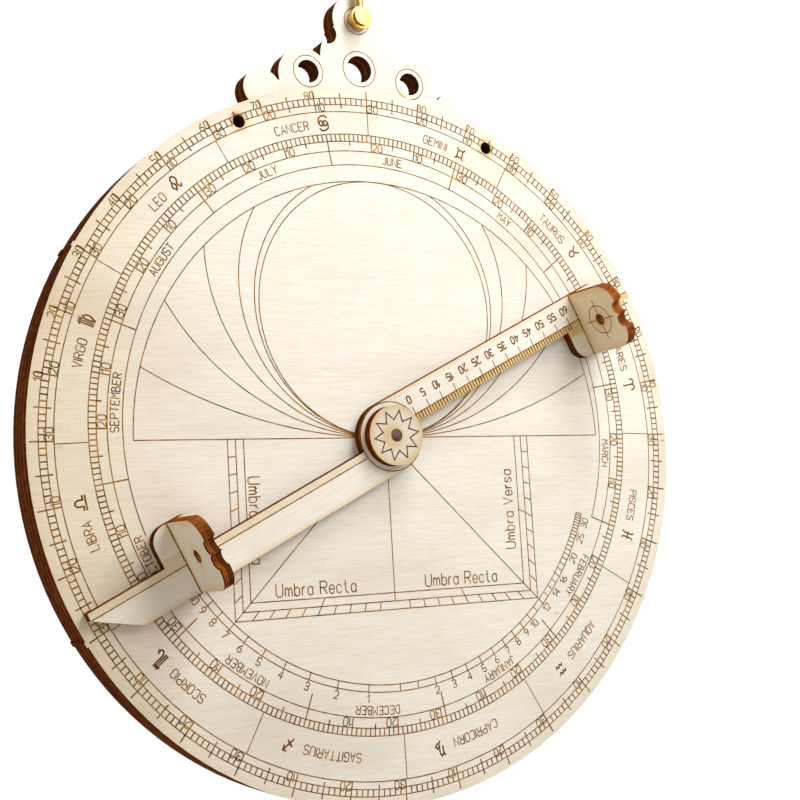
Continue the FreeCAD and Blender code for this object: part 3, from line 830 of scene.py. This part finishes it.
def climate_lines():
    """Stereographic plate for one latitude: altitude and azimuth circles and the hours."""
    e = front("climate_lines", "mater", PLATE_Y)
    for radius in (TROPIC, EQUATOR, CANCER):
        e.arc(radius)
    e.line([(0, -TROPIC), (0, TROPIC)])
    e.line([(-TROPIC, 0), (TROPIC, 0)])
    sin_lat, cos_lat = math.sin(LATITUDE), math.cos(LATITUDE)
    horizon_up, horizon_radius = EQUATOR * cos_lat / sin_lat, EQUATOR / sin_lat

    def inside(p):
        return math.hypot(*p) < TROPIC

    def above(p):
        return inside(p) and math.hypot(p[0], p[1] - horizon_up) < horizon_radius

    for altitude in range(0, 90, 5):
        a = math.radians(altitude)
        down = sin_lat + math.sin(a)
        points = circle_points((0, EQUATOR * cos_lat / down), EQUATOR * math.cos(a) / down)
        for run in runs(points, inside):
            e.line(run, width=0.3 if altitude == 0 else HAIR if altitude % 10 == 0 else 0.14)
    half = EQUATOR / cos_lat
    for azimuth in range(-80, 90, 10):
        a = math.radians(azimuth)
        points = circle_points((half * math.tan(a), -EQUATOR * sin_lat / cos_lat),
                               half / math.cos(a), 2400)
        for run in runs(points, above):
            e.line(run[::3] if len(run) > 9 else run, width=0.14)
    for hour in range(1, 12):
        marks = []
        for radius, dec in ((CANCER, OBLIQUITY), (EQUATOR, 0.0), (TROPIC, -OBLIQUITY)):
            day_half = math.acos(-math.tan(LATITUDE) * math.tan(dec))
            t = math.pi / 2 - day_half - (2 * math.pi - 2 * day_half) * hour / 12
            marks.append((radius * math.cos(t), radius * math.sin(t)))
        e.line(three_point_arc(*marks), width=0.16)
    return e


def three_point_arc(a, b, c):
    """Points of the circular arc from a through b to c, or just the three in line."""
    steps = 24
    ax, ay, bx, by, cx, cy = *a, *b, *c
    d = 2 * (ax * (by - cy) + bx * (cy - ay) + cx * (ay - by))
    if abs(d) < 1e-6:
        return [a, b, c]
    a2, b2, c2 = ax * ax + ay * ay, bx * bx + by * by, cx * cx + cy * cy
    ux = (a2 * (by - cy) + b2 * (cy - ay) + c2 * (ay - by)) / d
    uy = (a2 * (cx - bx) + b2 * (ax - cx) + c2 * (bx - ax)) / d
    radius = math.hypot(ax - ux, ay - uy)
    t0, t1 = math.atan2(ay - uy, ax - ux), math.atan2(cy - uy, cx - ux)
    turn = (t1 - t0 + math.pi) % (2 * math.pi) - math.pi
    return [(ux + radius * math.cos(t0 + turn * i / steps),
             uy + radius * math.sin(t0 + turn * i / steps)) for i in range(steps + 1)]


def limb_scale():
    """Degrees and twice twelve hours round the front."""
    e = front("limb_scale", "mater", LIMB_Y, holes=RIM_HOLES)
    for radius in LIMB_RINGS:
        e.arc(radius)
    rim, outer, inner, base = LIMB_RINGS
    hour_degrees = 15
    for degree in range(360):
        if degree % hour_degrees == 0:
            e.ray(degree, base, rim)
        elif degree % 5 == 0:
            e.ray(degree, FIVES_TICK[0], outer)
        else:
            e.ray(degree, inner, outer)
    for hour in range(24):
        label = str((hour - 1) % 12 + 1)
        middle = 90 - (hour - 12) * hour_degrees - hour_degrees / 2
        e.curved(label, 87.6, middle, 4.4, width=0.34, gap=1.4)
    return e


def rete_scale():
    """Signs and degrees along the ecliptic ring, and two rings on the outer band."""
    e = front("rete_scale", "rete", RETE_Y)
    centre = (0, (TROPIC - CANCER) / 2)
    outer = (TROPIC + CANCER) / 2
    low, high = outer - ECLIPTIC_WIDTH + 0.4, outer - 0.35
    for radius in (high, outer - 2.0, low):
        e.arc(radius, centre)

    def towards(longitude):
        """Direction from the ecliptic ring's centre of a degree of the zodiac."""
        lon = math.radians(longitude)
        dec = math.asin(math.sin(OBLIQUITY) * math.sin(lon))
        ra = math.atan2(math.cos(OBLIQUITY) * math.sin(lon), math.cos(lon))
        radius = EQUATOR * math.tan((math.pi / 2 - dec) / 2)
        t = math.pi / 2 + ra - 1.5 * math.pi
        x, y = radius * math.cos(t), radius * math.sin(t)
        return math.degrees(math.atan2(y - centre[1], x - centre[0]))

    for longitude in range(0, 360, 2):
        angle = towards(longitude)
        if longitude % SIGN_DEGREES == 0:
            e.ray(angle, low, high, centre, 0.24)
        else:
            e.ray(angle, outer - (2.0 if longitude % 10 else 2.8), high, centre, 0.16)
    for i in range(12):
        middle = towards((i + 0.5) * SIGN_DEGREES)
        e.curved([f"sign{i + 1}"], low + 1.8, middle, 2.9, centre, width=0.32)
    for radius in RETE_RIM_RINGS:
        e.arc(radius)
    return e


def rule_lines():
    """Declinations, 5 degrees apart, along both arms of the rule; every tenth is numbered."""
    e = front("rule_lines", "rule", RULE_Y)
    arm_lines(e, -1)
    for dec in range(-20, 61, 5):
        radius = EQUATOR * math.tan((math.pi / 2 - math.radians(dec)) / 2)
        for side in (1, -1):
            length = 3.6 if dec % 10 == 0 else 1.9
            e.line([(side * radius, -side * 0.1), (side * radius, -side * length)])
            if dec % 10 == 0 and radius > 15:
                e.text(str(abs(dec)), (side * radius, -side * 5.8),
                       0 if side > 0 else math.pi, 2.2, squeeze=0.78, width=0.3)
    return e


def throne_lines(name, y, right):
    """A fine border round the throne's piercings and its bush."""
    e = Engraving(name, "mater", (PIVOT.x, y, PIVOT.z), right, (0, 0, 1), width=0.26)
    for x, up, radius in ((0, 104, 3.8), (16, 101.5, 3.2), (-16, 101.5, 3.2), (0, 118, 2.6)):
        e.arc(radius + 1.3, (x, up))
    return e


# ------------------------------------------------------------------ assemble

GRAIN_X, GRAIN_Z, FACE_Y = (1, 0, 0), (0, 0, 1), (0, 1, 0)
CAP_SMOKE = 0.42
front_stains = [rim_stain(DISC_RADIUS - 4, DISC_RADIUS, 0.2)]
# The side darkening on the back is painted shade towards its dim left side; the others are heat
# stains.
back_stains_and_shade = [side_cast(-40, -96, 0.3), rim_stain(DISC_RADIUS - 4, DISC_RADIUS, 0.2)]
back_stains_and_shade += [spot_stain(x, z, 1.6, 4.0, 0.8) for x, z in RIM_HOLES]
cap_stains = [spot_stain(-1.2, -0.3, 1.8, 4.6, 0.7),
              rim_stain(CAP_RADIUS - 2.5, CAP_RADIUS + 0.2, 0.7)]
# Both sights get painted shade over their heat stains, the far sight more, as their faces turn
# from the lamps.
near_sight_stains_and_shade, far_sight_stains_and_shade = [tone(0.1), sight_stain], [tone(0.4), sight_stain]
finishes = {
    "back_plate": birch("birch_back", GRAIN_X, FACE_Y, 0.4, 0.0, back_stains_and_shade),
    "rim_ring_rear": birch("birch_rim_rear", GRAIN_X, FACE_Y, 0.42, 3.0),
    "rim_ring_mid": birch("birch_rim_mid", GRAIN_Z, FACE_Y, 0.38, 6.0),
    "limb_ring": birch("birch_limb", GRAIN_X, FACE_Y, 0.42, 9.0, front_stains),
    "plate_key": birch("birch_key", GRAIN_Z, FACE_Y, 0.4, 12.0),
    "climate_plate_rear": birch("birch_plate_rear", GRAIN_X, FACE_Y, 0.4, 15.0),
    "climate_plate_front": birch("birch_plate_front", GRAIN_X, FACE_Y, 0.4, 18.0),
    "rete": birch("birch_rete", GRAIN_Z, FACE_Y, 0.55, 21.0),
    "rule": birch("birch_rule", GRAIN_X, FACE_Y, 0.45, 24.0),
    "alidade_bar": birch("birch_alidade", ALONG, FACE_Y, 0.52, 27.0, [arm_stain(0.55)]),
    "sight_plain": birch("birch_sight_plain", BESIDE, ALONG, 0.72, 30.0, near_sight_stains_and_shade),
    "sight_crosshair": birch("birch_sight_target", BESIDE, ALONG, 0.72, 33.0, far_sight_stains_and_shade),
    "star_cap_rear": birch("birch_cap_rear", ALONG, FACE_Y, 0.42, 36.0, cap_stains, CAP_SMOKE),
    "star_cap_front": birch("birch_cap_front", GRAIN_X, FACE_Y, 0.42, 39.0, cap_stains,
                            CAP_SMOKE),
    "throne_rear": birch("birch_throne_rear", GRAIN_Z, FACE_Y, 0.45, 42.0),
    "throne_front": birch("birch_throne_front", GRAIN_Z, FACE_Y, 0.45, 45.0),
    "pivot_pin": metal("pin_metal", srgb(122, 96, 88), srgb(60, 40, 34), 0.42),
}
brass = metal("brass", srgb(226, 184, 104), srgb(176, 130, 66), 0.2)
for node in ("throne_bush", "shackle_pin", "shackle_link", "thumb_ring"):
    finishes[node] = brass
for node, material in finishes.items():
    for slot in frame["nodes"][node].material_slots:
        slot.material = material

char = scorch("engraved_char", srgb(92, 59, 8), srgb(166, 118, 42))
deep = scorch("engraved_deep", srgb(54, 28, 8), srgb(104, 62, 22))
gold = scorch("engraved_gold", srgb(88, 52, 6), srgb(146, 98, 32))
zodiac_words, zodiac_marks = zodiac_band()
for engraving in (degree_scale(), degree_figures(), zodiac_words, calendar(), calendar_words(),
                  hour_lines(), tangent_scale(), shadow_square(), alidade_lines(),
                  climate_lines(), limb_scale(), rete_scale(), rule_lines(),
                  throne_lines("throne_lines_rear", THRONE_BACK_Y, (1, 0, 0)),
                  throne_lines("throne_lines_front", THRONE_FRONT_Y, (-1, 0, 0))):
    engraving.build(char)
for engraving in (zodiac_marks, ruler(), sight_target()):
    engraving.build(gold)
for engraving in (star("star_rear", CAP_BACK_Y, ALONG, BESIDE),
                  star("star_front", CAP_FRONT_Y, (-1, 0, 0), (0, 0, 1))):
    engraving.build(deep)

# ------------------------------------------------------------------ stage, light, camera


def floor():
    """Plain pale round floor, well below the hanging object."""
    radius_m, drop_m, sides = 3.6, 0.75, 96
    mesh = bpy.data.meshes.new("pale_floor")
    turns = [2 * math.pi * i / sides for i in range(sides)]
    ring = [(radius_m * math.cos(t), radius_m * math.sin(t), cad_box[0][2] - drop_m)
            for t in turns]
    mesh.from_pydata(ring, [], [tuple(range(sides))])
    g = Graph("pale_floor")
    g.shader.inputs["Base Color"].default_value = (0.86, 0.85, 0.83, 1)
    g.shader.inputs["Roughness"].default_value = 0.9
    g.shader.inputs["Specular IOR Level"].default_value = 0.1
    mesh.materials.append(g.owner)
    plate = bpy.data.objects.new("pale_floor", mesh)
    bpy.context.scene.collection.objects.link(plate)


def studio():
    """White beyond the object, a pale band round the horizon, dimmer above and below."""
    g = Graph("studio", world=True)
    high = g.smooth(g.math("ABSOLUTE", g.dot((0, 0, 1), "Generated")), 0.3, 0.6)
    room = g.mix(high, (0.5, 0.465, 0.41), (0.2, 0.17, 0.13))
    beyond = g.smooth(g.dot((0, 1, 0), "Generated"), 0.05, 0.5)
    g.put(g.shader.inputs["Color"], g.mix(beyond, room, (1.02, 1.02, 1.02)))
    return g.owner


def soft_light(name, at, width, power, colour=(1, 1, 1)):
    """Round lamp at a point in metres, turned to the pivot; width in metres, power in watts."""
    data = bpy.data.lights.new(name, "AREA")
    data.shape, data.size, data.energy, data.color = "DISK", width, power, colour
    lamp = bpy.data.objects.new(name, data)
    lamp.location = at
    lamp.rotation_euler = (PIVOT - Vector(at)).to_track_quat("-Z", "Y").to_euler()
    bpy.context.scene.collection.objects.link(lamp)


floor()
soft_light("key", PIVOT + Vector((0.21, -0.34, 0.27)), 0.34, 1.8)
soft_light("top", PIVOT + Vector((0.1, -0.15, 0.42)), 0.16, 1.2)
soft_light("fill", (-1.5, -0.7, -0.5), 1.2, 2.9, (1.0, 0.92, 0.82))
soft_light("behind", (0.5, 1.2, 0.6), 0.6, 7.0)
bpy.context.scene.world = studio()
bpy.context.scene.view_settings.view_transform = "Standard"

# The camera stands low on the left of the engraved back, tipped a little clockwise.
CAMERA_PLACE = Vector((-182.2, -328.5, -31.6))            # from the middle of the back
HEADING, PITCH, ROLL = math.radians(29.69), math.radians(6.31), math.radians(3.4)
SENSOR_WIDTH, FOCAL_LENGTH = 36.0, 62.76
camera_data = bpy.data.cameras.new("camera")
camera_data.sensor_width, camera_data.lens = SENSOR_WIDTH, FOCAL_LENGTH
camera_data.clip_start = 0.01
camera = bpy.data.objects.new("camera", camera_data)
camera.location = Vector((PIVOT.x, BACK_Y, PIVOT.z)) + CAMERA_PLACE * MM
camera.rotation_euler = (Matrix.Rotation(-HEADING, 3, "Z")
                         @ Matrix.Rotation(math.pi / 2 + PITCH, 3, "X")
                         @ Matrix.Rotation(-ROLL, 3, "Z")).to_euler()
bpy.context.scene.collection.objects.link(camera)
bpy.context.scene.camera = camera
